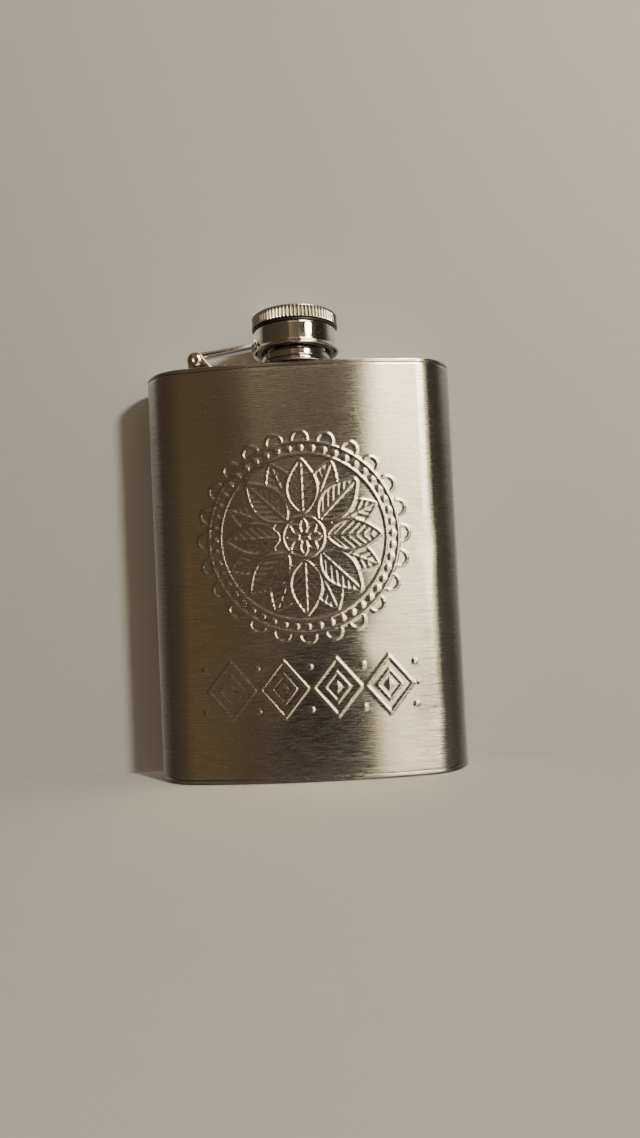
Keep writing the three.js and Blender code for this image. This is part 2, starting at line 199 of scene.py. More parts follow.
# %% [markdown]
# ## Shader maths
# A finish is easier to read as sums and products than as a list of nodes. `Wire` wraps a socket and
# turns Python's operators into Math nodes. `Finish` holds one material and adds any other node from
# its type, its settings and what goes into its sockets.

# %% The wire and the finish
class Wire:
    def __init__(self, finish, socket):
        self.finish = finish
        self.socket = socket

    def math(self, operation, *others, clamp=False):
        settings = {"operation": operation, "use_clamp": clamp}
        return self.finish.node("ShaderNodeMath", settings, {0: self, **dict(enumerate(others, 1))})

    def flipped(self, operation, other):
        return self.finish.node("ShaderNodeMath", {"operation": operation}, {0: other, 1: self})

    def __add__(self, other):
        return self.math("ADD", other)

    def __sub__(self, other):
        return self.math("SUBTRACT", other)

    def __mul__(self, other):
        return self.math("MULTIPLY", other)

    def __truediv__(self, other):
        return self.math("DIVIDE", other)

    __radd__ = __add__
    __rmul__ = __mul__

    def __rsub__(self, other):
        return self.flipped("SUBTRACT", other)

    def __rtruediv__(self, other):
        return self.flipped("DIVIDE", other)

    def clamped(self):
        return self.math("ADD", 0, clamp=True)

    def above(self, start, end):
        """0 below start, 1 above end, and a straight climb between them."""
        return ((self - start) / (end - start)).clamped()


class Finish:
    def __init__(self, tree):
        self.tree = tree

    def node(self, kind, settings=None, inputs=None, output=0):
        made = self.tree.nodes.new(kind)
        for key, value in (settings or {}).items():
            if key == "stops":
                ramp = made.color_ramp.elements
                for index, (share, colour) in enumerate(value):
                    stop = ramp[index] if index < 2 else ramp.new(share)
                    stop.position = share
                    stop.color = (*colour, 1)
            else:
                setattr(made, key, value)
        for key, value in (inputs or {}).items():
            if isinstance(value, Wire):
                self.tree.links.new(value.socket, made.inputs[key])
            else:
                made.inputs[key].default_value = value
        return Wire(self, made.outputs[output]) if made.outputs else None

    def mixed(self, share, first, second):
        """A colour between two, by a share from 0 to 1."""
        return self.node(
            "ShaderNodeMix", {"data_type": "RGBA"}, {0: share, 6: first, 7: second}, output=2
        )

    def noise(self, stretch, detail=3.0, rough=0.55, turn=(0, 0, 0)):
        """Noise whose waves per millimetre along X, Y and Z are given by stretch."""
        own = self.node("ShaderNodeTexCoord", output=3)
        scale = tuple(s / MM for s in stretch)
        inputs = {"Vector": own, "Scale": scale, "Rotation": turn}
        mapped = self.node("ShaderNodeMapping", None, inputs)
        inputs = {"Vector": mapped, "Scale": 1.0, "Detail": detail, "Roughness": rough}
        return self.node("ShaderNodeTexNoise", None, inputs)

    def own_mm(self, axis):
        """The object's own X, Y or Z, by number, in millimetres."""
        own = self.node("ShaderNodeTexCoord", output=3)
        return self.node("ShaderNodeSeparateXYZ", None, {0: own}, output=axis) / MM


WARMTH = 0.05  # steel is a little yellower than grey


def grey(value):
    return (value * (1 + WARMTH), value, value * (1 - 1.6 * WARMTH), 1)


def new_finish(name):
    material = bpy.data.materials.new(name)
    material.use_nodes = True
    material.node_tree.nodes.clear()
    return material, Finish(material.node_tree)


def close_finish(finish, fixed, colour, gloss, bump, bump_mm, strength):
    """One Principled shader: fixed values on its own sockets, varying ones linked, and a bump."""
    settings = {"Height": bump, "Distance": bump_mm * MM, "Strength": strength}
    normal = finish.node("ShaderNodeBump", None, settings)
    inputs = {**fixed, "Base Color": colour, "Roughness": gloss, "Normal": normal}
    shader = finish.node("ShaderNodeBsdfPrincipled", None, inputs)
    finish.node("ShaderNodeOutputMaterial", None, {"Surface": shader})


# %% [markdown]
# ## Brushed steel
# The wall was brushed from side to side with an abrasive belt. The grain is thousands of fine
# scratches, long in X and Y and very short in Z. They show in three ways: as faint light and dark
# lines, as a change of gloss, and as tiny ridges that smear a reflection up and down. The smear comes
# from the shader's anisotropy, turned a quarter so that it runs across the scratches, and the ridges
# come from a bump. Three grains are laid over each other: hair-fine lines, longer streaks, and short
# dashes that are duller than the rest. Hands add soft smudges, and use adds scratches at a slant.

# %% Brushed steel for the wall
SCRATCHES = [
    # start x, start z, end x, end z in millimetres
    (11.5, 104.0, 15.0, 91.0),
    (16.0, 112.0, 19.5, 98.0),
    (-24.0, 88.0, -17.0, 104.0),
    (27.5, 17.5, 31.5, 9.5),
    (24.5, 9.0, 28.0, 5.0),
    (-9.0, 8.0, -1.0, 13.5),
    (31.0, 47.0, 36.5, 57.0),
    (-38.0, 25.0, -31.0, 33.0),
]


def scratched(f):
    """1 on a few long hairline scratches, thinner towards their ends."""
    x, z = f.own_mm(0), f.own_mm(2)
    wander = f.noise((0.25, 0.25, 0.25), 2.0, 0.5) - 0.5
    mask = 0.0
    for x1, z1, x2, z2 in SCRATCHES:
        long = math.hypot(x2 - x1, z2 - z1)
        ux, uz = (x2 - x1) / long, (z2 - z1) / long
        along = (x - x1) * (ux / long) + (z - z1) * (uz / long)
        across = (x - x1) * uz - (z - z1) * ux + wander * 0.8
        room = (along * (1 - along) * 4).clamped()
        mask = mask + (1 - across.math("ABSOLUTE") / (room * 0.075 + 0.001)).clamped() * room
    return mask.clamped()


def brushed(name, tone, rough, grain_bump, marked):
    material, f = new_finish(name)
    fine = f.noise((0.05, 0.05, 7.0), 4.0, 0.62)
    streak = f.noise((0.12, 0.12, 3.2), 4.0, 0.62)
    dashes = f.noise((0.22, 0.22, 4.2), 4.0, 0.65).above(0.38, 0.62)
    cloud = f.noise((0.035, 0.035, 0.05), 3.0, 0.5)
    slant = f.noise((0.05, 0.05, 2.2), 2.0, 0.5, (0.0, 0.9, 0.0)).above(0.68, 0.72)
    stray = f.noise((0.04, 0.04, 1.4), 2.0, 0.5, (0.0, -1.15, 0.0)).above(0.69, 0.72)
    worn = f.noise((0.06, 0.06, 0.07), 2.0, 0.6).above(0.48, 0.6)
    scratches = ((slant + stray) * worn).clamped()
    if marked:
        scratches = (scratches + scratched(f)).clamped()
    lines = (fine - 0.5) * 0.55 + (streak - 0.5) * 0.6
    light = (lines * 0.8 + (cloud - 0.5) * 0.3 + 0.59 - dashes * 0.18 + scratches * 0.35).clamped()
    colour = f.mixed(light, grey(tone * 0.7), grey(tone * 1.27))
    gloss = lines * 0.15 + (cloud - 0.5) * 0.14 + dashes * 0.16 + rough - 0.08 + scratches * 0.2
    relief = fine * 0.75 + streak * 0.4 - scratches * 1.5
    fixed = {"Metallic": 1.0, "Anisotropic": 1.0, "Anisotropic Rotation": 0.25}
    close_finish(f, fixed, colour, gloss.clamped(), relief, 0.006, grain_bump)
    return material


WALL_STEEL = brushed("brushed_wall_steel", tone=0.53, rough=0.235, grain_bump=0.3, marked=True)
PLATE_STEEL = brushed("brushed_plate_steel", tone=0.5, rough=0.25, grain_bump=0.25, marked=False)
print("Brushed steel has", len(WALL_STEEL.node_tree.nodes), "nodes")


# %% [markdown]
# ## Polished, stamped and welded steel
# The neck, sleeve and cap are polished like a mirror, but a used mirror has haze, fine wipe marks and
# a few specks. Stamped pieces keep the rolled sheet's dull skin and get bright where they rub. Weld
# metal is duller, bluish to brown, and rippled.

# %% Other steels
METAL = {"Metallic": 1.0}


def polished(name, tone, rough):
    material, f = new_finish(name)
    wipe = f.noise((0.5, 0.5, 3.5), 3.0, 0.6)
    haze = f.noise((0.12, 0.12, 0.12), 3.0, 0.55)
    specks = f.noise((2.6, 2.6, 2.6), 1.0, 0.4).above(0.74, 0.79)
    light = ((haze - 0.5) * 0.5 + (wipe - 0.5) * 0.2 + 0.55 - specks * 0.5).clamped()
    colour = f.mixed(light, grey(tone * 0.82), grey(tone * 1.1))
    gloss = haze.above(0.42, 0.75) * 0.07 + (wipe - 0.5) * 0.05 + rough + specks * 0.25
    close_finish(f, METAL, colour, gloss.clamped(), wipe + specks * 0.6, 0.0015, 0.4)
    return material


def stamped(name, tone, rough):
    material, f = new_finish(name)
    skin = f.noise((0.9, 0.9, 0.9), 5.0, 0.65)
    rolled = f.noise((0.15, 3.0, 3.0), 3.0, 0.6)
    rub = f.noise((0.35, 0.35, 0.35), 2.0, 0.5).above(0.45, 0.65)
    light = ((skin - 0.5) * 0.7 + (rolled - 0.5) * 0.5 + 0.45 + rub * 0.2).clamped()
    colour = f.mixed(light, grey(tone * 0.7), grey(tone * 1.2))
    gloss = (skin - 0.5) * 0.1 + rough - rub * 0.04
    close_finish(f, METAL, colour, gloss.clamped(), skin * 0.7 + rolled * 0.5, 0.002, 0.35)
    return material


def welded(name):
    material, f = new_finish(name)
    heat = f.noise((0.5, 0.5, 0.8), 3.0, 0.6)
    grain = f.noise((3.0, 3.0, 3.0), 4.0, 0.6)
    colour = f.mixed(heat.above(0.38, 0.62), (0.30, 0.25, 0.19, 1), (0.44, 0.43, 0.42, 1))
    gloss = (grain - 0.5) * 0.3 + 0.34
    close_finish(f, METAL, colour, gloss.clamped(), grain, 0.012, 0.6)
    return material


MIRROR_STEEL = polished("mirror_steel", tone=0.6, rough=0.06)
KNURL_STEEL = polished("knurled_mirror_steel", tone=0.62, rough=0.1)
RIVET_STEEL = polished("rivet_steel", tone=0.46, rough=0.12)
STAMPED_STEEL = stamped("stamped_steel", tone=0.5, rough=0.15)
# Painted shade: the insert and the retaining ring get a dark tone, which stands for the dim inside of the
# sleeve.
SHADE_DARKENED_STEEL = polished("turned_steel_painted_shade", tone=0.22, rough=0.3)
WELD_STEEL = welded("weld_steel")
print("Made six more steels")


# %% [markdown]
# ## Plastic and rubber
# The washer is black nylon, and its black also paints the shade in the gap under the head. The plug in
# the head is white plastic and the gasket is milky silicone.
# Moulded plastic isn't one colour: it has flow clouds, a fine skin and scuffs.

# %% Plastic and rubber
def moulded(name, dark, pale, rough):
    material, f = new_finish(name)
    cloud = f.noise((0.2, 0.2, 0.2), 3.0, 0.55)
    skin = f.noise((4.0, 4.0, 4.0), 3.0, 0.6)
    scuff = f.noise((0.3, 2.4, 1.2), 2.0, 0.5, (0.4, 0.2, 0.7)).above(0.62, 0.7)
    share = ((cloud - 0.5) * 0.9 + (skin - 0.5) * 0.3 + 0.45 + scuff * 0.2).clamped()
    colour = f.mixed(share, dark, pale)
    gloss = ((skin - 0.5) * 0.2 + rough + scuff * 0.12).clamped()
    close_finish(f, {}, colour, gloss, skin, 0.01, 0.4)
    return material


# The washer's black is partly painted shade: it also stands for the shade in the gap under the head's
# overhang.
BLACK_NYLON_AND_SHADE = moulded("black_nylon_and_painted_shade", (0.012, 0.011, 0.010, 1), (0.035, 0.032, 0.03, 1), 0.42)
WHITE_PLASTIC = moulded("white_plastic", (0.62, 0.60, 0.55, 1), (0.78, 0.77, 0.72, 1), 0.4)
MILKY_SILICONE = moulded("milky_silicone", (0.55, 0.53, 0.48, 1), (0.72, 0.71, 0.66, 1), 0.5)
print("Made three plastics")


# %% [markdown]
# ## The body's outline
# Seen from above, the wall is six arcs that meet tangent to each other: a wide bowed front, two round
# corners, two tighter corners and a hollow back that fits a hip. Four sizes settle them all. Walking
# round the arcs gives each column of the wall a place, the direction that it faces, and its distance
# along the front, which the ornament needs.

# %% Walk round the outline
FRONT_STEP, CORNER_STEP, BACK_STEP = 0.3, 0.95, 2.4  # millimetres between columns


def outline_columns():
    """Rows of x, y, outward x, outward y, and 1 on the front arc, else 0."""
    front_x = WIDTH / 2 - FRONT_CORNER
    rear_x = WIDTH / 2 - REAR_CORNER
    front_y, sink_y = -MID_THICKNESS / 2, MID_THICKNESS / 2
    rise = SIDE_Y - front_y - FRONT_CORNER
    front_r = FRONT_CORNER + (front_x**2 + rise**2) / (2 * rise)
    sink = sink_y - SIDE_Y
    back_r = (rear_x**2 + sink**2 - REAR_CORNER**2) / (2 * (REAR_CORNER - sink))
    front_turn = math.asin(front_x / (front_r - FRONT_CORNER))
    back_turn = math.asin(rear_x / (back_r + REAR_CORNER))
    down, up = -math.pi / 2, math.pi / 2
    round_again = down - front_turn + 2 * math.pi
    arcs = [
        (0, front_y + front_r, front_r, down - front_turn, down + front_turn, FRONT_STEP, 1, 1),
        (front_x, SIDE_Y, FRONT_CORNER, down + front_turn, 0, CORNER_STEP, 1, 0),
        (rear_x, SIDE_Y, REAR_CORNER, 0, up + back_turn, CORNER_STEP, 1, 0),
        (0, sink_y + back_r, back_r, down + back_turn, down - back_turn, BACK_STEP, -1, 0),
        (-rear_x, SIDE_Y, REAR_CORNER, up - back_turn, math.pi, CORNER_STEP, 1, 0),
        (-front_x, SIDE_Y, FRONT_CORNER, math.pi, round_again, CORNER_STEP, 1, 0),
    ]
    columns = []
    for cx, cy, r, start, end, step, outward, is_front in arcs:
        count = max(4, round(abs(end - start) * r / step))
        for t in np.linspace(start, end, count, endpoint=False):
            out_x, out_y = outward * math.cos(t), outward * math.sin(t)
            columns.append((cx + r * math.cos(t), cy + r * math.sin(t), out_x, out_y, is_front))
    return np.array(columns)


COLUMNS = outline_columns()
print("The wall has", len(COLUMNS), "columns")


# %% [markdown]
# ## The pressed ornament
# The front was pressed between dies before the sheet was wrapped, so its lines are soft ridges, not
# stuck-on strips. It could be a bump in the finish, but real ridges catch light at any angle and show
# in the outline, so the wall's own points move. Each motif is a distance to a line, and `ridge` turns
# a distance into a soft swell. The motifs are a ringed flower rosette and a row of lozenges.

# %% Draw the ornament as heights
RELIEF = 0.23
ROSETTE_Z = 71.0
ROSETTE_R = 28.5
RINGS = ((ROSETTE_R - 0.6, 0.75), (24.4, 0.6), (6.0, 0.6))  # radius and half-width
BEADS = 48
SCALLOPS = 24
ROW_Z = 27.0
LOZENGES = 4
LOZENGE_PITCH = 15.4


def ridge(distance, half_width, height=RELIEF):
    near = np.clip(np.abs(distance) / half_width, 0, 1)
    return height * (0.5 + 0.5 * np.cos(math.pi * near)) ** 0.8


def petals(r, angle, count, inner, outer, half_width, swung=0.0, line=0.7, veins=True):
    """Pointed petals as ridged outlines, each with a middle vein and slanted side veins."""
    step = 2 * math.pi / count
    offset = (angle - swung + step / 2) % step - step / 2
    along = (r * np.cos(offset) - inner) / (outer - inner)
    across = r * np.sin(offset)
    room = np.clip(along, 0, 1)
    edge = half_width * np.sin(math.pi * room**0.85) ** 0.9
    inside = (along > 0.0) & (along < 1.0)
    height = np.where(inside, ridge(np.abs(across) - edge, line), 0)
    if veins:
        in_leaf = inside & (np.abs(across) < edge - 0.3)
        middle = ridge(across, 0.5, RELIEF * 0.7)
        slant = (along * (outer - inner) - 1.1 * np.abs(across)) % 2.3 - 1.15
        side = ridge(slant, 0.55, RELIEF * 0.4)
        height = np.maximum(height, np.where(in_leaf, np.maximum(middle, side), 0))
    return height, inside & (np.abs(across) < edge + line * 0.6)


def beads(r, angle, count, ring, radius):
    step = 2 * math.pi / count
    offset = (angle + step / 2) % step - step / 2
    distance = np.hypot(r * np.cos(offset) - ring, r * np.sin(offset))
    return RELIEF * np.sqrt(np.clip(1 - (distance / radius) ** 2, 0, 1))


def rosette(x, z):
    r = np.hypot(x, z - ROSETTE_Z)
    angle = np.arctan2(z - ROSETTE_Z, x)
    front, covered = petals(r, angle, 8, 6.8, 23.0, 4.5)
    behind, _ = petals(r, angle, 8, 9.0, 23.6, 4.2, math.pi / 8, 0.5)
    height = np.maximum(front, np.where(covered, 0, behind))
    for radius, half_width in RINGS:
        height = np.maximum(height, ridge(r - radius, half_width))
    height = np.maximum(height, beads(r, angle, BEADS, 26.2, 1.1))
    core, _ = petals(r, angle, 8, 1.2, 5.4, 1.1, 0, 0.42, False)
    height = np.maximum(height, core)
    step = 2 * math.pi / SCALLOPS
    offset = (angle + step / 2) % step - step / 2
    lobe = np.hypot(r * np.cos(offset) - ROSETTE_R - 0.3, r * np.sin(offset)) - 2.3
    return np.maximum(height, np.where(r > ROSETTE_R, ridge(lobe, 0.55), 0))


def lozenge_row(x, z):
    half_row = LOZENGE_PITCH * LOZENGES / 2
    offset = (x + half_row) % LOZENGE_PITCH - LOZENGE_PITCH / 2
    size = np.abs(offset) / 6.9 + np.abs(z - ROW_Z) / 8.3
    inside = np.abs(x) < half_row
    height = ridge((size - 1) * 5.3, 0.7)
    height = np.maximum(height, ridge((size - 0.52) * 5.3, 0.5, RELIEF * 0.8))
    height = np.maximum(height, RELIEF * np.clip(1 - size / 0.24, 0, 1) ** 0.5)
    gap = np.abs(np.abs(offset) - LOZENGE_PITCH / 2)
    for shift in (-1, 1):
        dot = np.hypot(gap, z - ROW_Z - 6.2 * shift)
        height = np.maximum(height, RELIEF * np.sqrt(np.clip(1 - (dot / 0.95) ** 2, 0, 1)))
    return np.where(inside | (height > 0) & (np.abs(x) < half_row + 1), height, 0)


def ornament(x, z):
    return np.maximum(rosette(x, z), lozenge_row(x, z))


middle_row = np.linspace(-WIDTH / 2, WIDTH / 2, 400)
print("The ornament rises", round(ornament(middle_row, ROSETTE_Z).max(), 2), "mm")


# %% [markdown]
# ## Knocks and pulls
# A pressed sheet isn't a perfect curve. It is pulled in round the pressing, and a flask that lives in
# a pocket gets knocks. They are a fifth of a millimetre deep, but they bend its bright bands.

# %% Describe the knocks
DENTS = [
    # middle x, middle z, half-width, half-height, depth
    (36.0, 67.0, 3.0, 6.5, 0.20),
    (35.5, 18.0, 3.4, 4.5, 0.20),
    (24.0, 38.5, 6.0, 4.5, 0.17),
    (31.0, 86.0, 4.0, 8.0, -0.08),
    (31.0, 50.0, 4.0, 7.0, -0.08),
    (8.0, 42.5, 7.0, 3.5, -0.07),
    (-18.0, 100.0, 13.0, 9.0, 0.05),
    (-33.0, 52.0, 5.0, 12.0, 0.05),
]


def hollows(x, z):
    """Shallow knocks, and the sheet's own pull and swell round the pressing."""
    depth = 0.012 * np.sin(z / 11 + x / 19) + 0.01 * np.sin(x / 7 - z / 23)
    for at_x, at_z, wide, tall, deep in DENTS:
        depth = depth + deep * np.exp(-(((x - at_x) / wide) ** 2) - ((z - at_z) / tall) ** 2)
    return depth


print("The wall has", len(DENTS), "knocks and swells")


# %% [markdown]
# ## The wall
# The outside is a fine grid of the outline's columns and of rows up the wall. The sheet's thickness is
# kept: the grid turns over a rounded edge at the top and the bottom and comes back along the inside.

# %% Build the wall
PLAIN_ROW, PRESSED_ROW = 1.1, 0.34  # millimetres between rows


def pressed(z):
    """True where the ornament needs fine rows."""
    return abs(z - ROW_Z) < 9.5 or abs(z - ROSETTE_Z) < ROSETTE_R + 4


def build_wall():
    edge = 0.3
    rows = [(WALL_LOW, edge), (WALL_LOW + 0.1, 0.12), (WALL_LOW + edge, 0.02)]
    inner_low, inner_high = WALL_LOW + 2 * edge, WALL_HIGH - 2 * edge
    rows += [(z, 0) for z in np.arange(inner_low, inner_high, PLAIN_ROW) if not pressed(z)]
    rows += [(z, 0) for z in np.arange(inner_low, inner_high, PRESSED_ROW) if pressed(z)]
    rows.sort()
    rows += [(WALL_HIGH - edge, 0.02), (WALL_HIGH - 0.1, 0.12), (WALL_HIGH, edge)]
    rows += [(WALL_HIGH, SHEET), (WALL_LOW, SHEET)]
    x, y, out_x, out_y, is_front = COLUMNS.T
    ahead = y < SIDE_Y
    points = []
    for z, inset in rows:
        lift = ornament(x, z) * is_front - hollows(x, z) * ahead * np.clip(-out_y, 0, 1) ** 0.5
        move = lift * (inset < SHEET) - inset
        points += list(zip(x + out_x * move, y + out_y * move, np.full(len(x), z)))
    n, m = len(COLUMNS), len(rows)
    faces = []
    for j in range(m):
        a, b = j * n, (j + 1) % m * n
        faces += [(a + i, a + (i + 1) % n, b + (i + 1) % n, b + i) for i in range(n)]
    place("wall", points, faces, "body_wall", WALL_STEEL)


build_wall()


# %% [markdown]
# ## The end plates
# Each end is a flat plate with its rim rounded over and polished, and a hair-fine seam where it meets
# the wall. A plate is built from rings of the outline, each a little further in, and the flat middle
# is filled at the end. The top plate's middle has a round hole for the neck.

# %% Build the end plates
HOLE_SIDES = 96
NECK_HOLE = 8.3  # its radius in the top plate


def plate_points(profile):
    x, y, out_x, out_y, _ = COLUMNS[::2].T
    points = []
    for inset, z in profile:
        points += list(zip(x - out_x * inset, y - out_y * inset, np.full(len(x), z)))
    return points, len(x)


def build_plate(name, node, outer_z, inner_z, hole_radius):
    up = 1 if outer_z > inner_z else -1
    thick = abs(outer_z - inner_z)
    ease, sink = 0.55, 0.16
    profile = [(SHEET + 1, inner_z), (0.12, inner_z), (0.02, inner_z + up * 0.12)]
    for t in np.linspace(0, math.pi / 2, 7):
        profile.append((ease * (1 - math.cos(t)), inner_z + up * (thick - ease * (1 - math.sin(t)))))
    profile += [(1.6, outer_z), (2.1, outer_z - up * 0.12), (3.0, outer_z - up * sink)]
    points, n = plate_points(profile)
    mesh = bmesh.new()
    made = [mesh.verts.new(p) for p in points]
    for j in range(len(profile) - 1):
        for i in range(n):
            a, b = j * n + i, j * n + (i + 1) % n
            mesh.faces.new((made[a], made[b], made[b + n], made[a + n]))
    for ring_start, z in ((0, inner_z), ((len(profile) - 1) * n, outer_z - up * sink)):
        loop = [made[ring_start + i] for i in range(n)]
        edges = [mesh.edges.get((loop[i], loop[(i + 1) % n])) for i in range(n)]
        if hole_radius:
            circle = [2 * math.pi * k / HOLE_SIDES for k in range(HOLE_SIDES)]
            spots = [(hole_radius * math.cos(a), hole_radius * math.sin(a), z) for a in circle]
            rim = [mesh.verts.new(spot) for spot in spots]
            edges += [mesh.edges.new(pair) for pair in zip(rim, rim[1:] + rim[:1])]
        bmesh.ops.triangle_fill(mesh, use_beauty=True, edges=edges)
    if hole_radius:
        rims = [e for e in mesh.edges if len(e.link_faces) == 1]
        bmesh.ops.bridge_loops(mesh, edges=rims)
    from_bmesh(name, mesh, node, PLATE_STEEL, 30)


build_plate("bottom_cover", "bottom_plate", 0.0, high("bottom_plate").z, 0)
build_plate("top_cover", "top_plate", TOP, low("top_plate").z, NECK_HOLE)


# %% [markdown]
# ## Welds
# A weld bead is a row of overlapping ripples. The side seam is one narrow strip of them, and the neck
# has a ring. Both are shaped by a wave along the bead.

# %% Build the welds
def build_side_seam():
    lo, hi = low("side_seam_weld"), high("side_seam_weld")
    x_out, y_mid, half = hi.x - 0.1, (lo.y + hi.y) / 2, (hi.y - lo.y) / 2
    depth = SHEET * 0.9
    heights = np.arange(WALL_LOW, WALL_HIGH, 0.3)
    across = np.linspace(-1, 1, 9)
    points = []
    for z in heights:
        for side in across:
            bow = 0.09 * (1 - side**2)
            ripple = 0.035 * abs(math.sin(2.2 * z + 1.2 * side**2)) * (1 - side**2)
            lean = 0.12 * (1 + side) ** 2 / 2
            points.append((x_out - lean + bow + ripple, y_mid + side * half, z))
        points.append((x_out - depth, y_mid + half, z))
        points.append((x_out - depth, y_mid - half, z))
    n = len(across) + 2
    faces = [tuple(range(n))[::-1], tuple(len(points) - n + i for i in range(n))]
    for j in range(len(heights) - 1):
        a, b = j * n, (j + 1) * n
        faces += [(a + i, a + (i + 1) % n, b + (i + 1) % n, b + i) for i in range(n)]
    place("side_seam", points, faces, "side_seam_weld", WELD_STEEL)


def build_neck_bead():
    inner, outer = high("threaded_neck").x, high("neck_weld").x
    base, crest = low("neck_weld").z, high("neck_weld").z
    ripples = 34
    corners = [(inner, base, 0), (outer, base, 0.1), (outer - 0.2, base + 0.35, 0.2), (inner, crest, 0.1)]

    def rippled(r, z, angle):
        wave = 0.04 * abs(math.sin(angle * ripples)) * (r - inner) / (outer - inner)
        return r + wave, z + wave * 0.6 if z > base + 0.05 else z

    piece = ("neck_bead", "neck_weld", "weld", WELD_STEEL)
    lathed(piece, corners, 4, 0.25, 12 * ripples, rippled)


build_side_seam()
build_neck_bead()


# %% [markdown]
# ## The neck
# The neck was turned from bar: a flange that is welded to the plate, a groove, a polished collar, and
# the spout with its thread. A thread could be a separate coil laid round the tube, but a real one is
# cut from it, so here the spout's own skin rises and falls along the helix.

# %% Build the neck
PITCH = 2.0
THREAD_STEP = 0.16  # how fine a threaded skin is cut, in millimetres


def threaded(base_z, end_z, crest):
    """Raises the skin between two heights along a helix, fading out at both ends."""

    def shape(r, z, angle):
        turn = (z - base_z) / PITCH - angle / (2 * math.pi)
        wave = abs((turn % 1) - 0.5) * 2
        tooth = min(1, max(0, (0.78 - wave) / 0.5))
        fade = min(1, max(0, (z - base_z) / 0.7), max(0, (end_z - z) / 0.7))
        return r + crest * tooth * max(0, fade), z

    return shape


def build_neck():
    bore, tail, flange, collar, spout = 6.6, 8.2, high("threaded_neck").x, 10.3, 8.4
    foot, lip = low("threaded_neck").z, high("threaded_neck").z
    seat = TOP + 0.05
    corners = [
        (bore, foot, 0.3), (tail, foot, 0.3), (tail, seat, 0), (flange, seat, 0.1),
        (flange, TOP + 1.3, 0.35), (9.5, TOP + 1.3, 0.15), (9.5, TOP + 1.7, 0.15),
        (collar, TOP + 1.7, 0.3), (collar, TOP + 3.8, 0.4), (spout + 0.1, TOP + 3.8, 0.2),
        (spout, TOP + 4.4, 0), (spout, lip, 0.5), (bore, lip, 0.4),
    ]
    cut = threaded(TOP + 4.6, TOP + 9.9, 0.7)

    def on_spout(r, z, angle):
        outside = spout - 0.3 < r < spout + 0.05 and z > TOP + 4.4
        return cut(r, z, angle) if outside else (r, z)

    piece = ("neck", "threaded_neck", "polished_steel", MIRROR_STEEL)
    lathed(piece, corners, longest=THREAD_STEP, shape=on_spout)


build_neck()


# %% [markdown]
# ## The hinge
# The bracket is one strip bent up into two ears and spot welded to the plate. The rivet's head is
# domed over the front ear, and its tail is struck flat over the back one. Sheet parts are drawn as an
# outline, given their thickness, and their edges are eased by a bevel, as a tumbled stamping's are.

# %% Build the bracket and the rivet
def arc(radius, start, end, steps):
    """Points in X and Z on an arc round the pin."""
    turns = np.linspace(start, end, steps)
    return [(PIN_X + radius * math.cos(t), PIN_Z + radius * math.sin(t)) for t in turns]


def slab(mesh, loop, front, back):
    """A closed outline in X and Z given a thickness along Y, added to a bmesh."""
    a = [mesh.verts.new((x, front, z)) for x, z in loop]
    b = [mesh.verts.new((x, back, z)) for x, z in loop]
    n = len(loop)
    mesh.faces.new(a)
    mesh.faces.new(b[::-1])
    for i in range(n):
        mesh.faces.new((a[i], b[i], b[(i + 1) % n], a[(i + 1) % n]))


def ease_edges(mesh, width):
    """Rounds every edge that turns by more than 50 degrees."""
    bmesh.ops.recalc_face_normals(mesh, faces=mesh.faces)
    closed = [e for e in mesh.edges if len(e.link_faces) == 2]
    sharp = [e for e in closed if e.calc_face_angle() > math.radians(50)]
    bmesh.ops.bevel(
        mesh, geom=sharp, offset=width, segments=2, profile=0.5, affect="EDGES", clamp_overlap=True
    )


def build_bracket():
    lo, hi = low("hinge_bracket"), high("hinge_bracket")
    radius, thick, floor = hi.z - PIN_Z, 0.9, 0.6
    mesh = bmesh.new()
    ear = [(lo.x + 0.4, lo.z), (hi.x, lo.z), (hi.x, lo.z + 0.7)]
    ear += arc(radius, 0.25, math.pi + 0.3, 28)
    for front, back in ((lo.y, lo.y + thick), (hi.y - thick, hi.y)):
        slab(mesh, ear, front, back)
    base = [(lo.x + 0.4, lo.z), (hi.x, lo.z), (hi.x, lo.z + floor), (lo.x + 0.4, lo.z + floor)]
    slab(mesh, base, lo.y + thick - 0.02, hi.y - thick + 0.02)
    ease_edges(mesh, 0.13)
    from_bmesh("bracket", mesh, "hinge_bracket", STAMPED_STEEL)


def lay_on_pin(points):
    """Turns a piece spun round Z so that it lies along Y through the pin's centre."""
    return [(PIN_X + x, z, PIN_Z + y) for x, y, z in points]


def build_rivet():
    reach = high("hinge_pin").y
    head, shank = 1.9, 1.1
    face = reach - 0.62
    corners = [
        (0.01, -reach + 0.3, 0), (0.45, -reach + 0.24, 0.2), (0.75, -reach, 0.25),
        (1.15, -reach, 0.3), (head - 0.12, -reach + 0.3, 0.35), (head, -face - 0.12, 0.15),
        (head, -face, 0.08), (shank, -face, 0), (shank, face, 0), (head, face, 0.1),
        (head, face + 0.25, 0.25), (head - 0.6, reach - 0.1, 0.3), (0.01, reach - 0.18, 0),
    ]
    points, faces = spin(eased(corners), 56)
    place("rivet", lay_on_pin(points), faces, "hinge_pin", RIVET_STEEL)


build_bracket()
build_rivet()


# %% [markdown]
# ## The arm
# The arm is a strip rolled round the rivet at one end. Its other end is a saddle, bent to the sleeve's
# radius and welded on. The strip's outline follows the roll and then climbs to the sleeve.

# %% Build the arm
KNUCKLE = 2.35  # radius of the arm's roll


def add_strip(mesh, end_x, end_top, slope):
    hole, sheet, half = 1.2, 0.9, 2.5
    meets = 2 * math.pi + 0.35
    strip = [(end_x, end_top - sheet / math.cos(slope)), (end_x, end_top)]
    strip += arc(KNUCKLE, math.pi / 2 + slope, meets, 56)
    strip += arc(hole + 0.25, meets, meets + 0.25, 3)
    root_x, root_z = strip[-1]
    strip += [(root_x + 0.5, root_z + 0.5), (root_x + 1.4, root_z + 0.75)]
    slab(mesh, strip, -half, half)


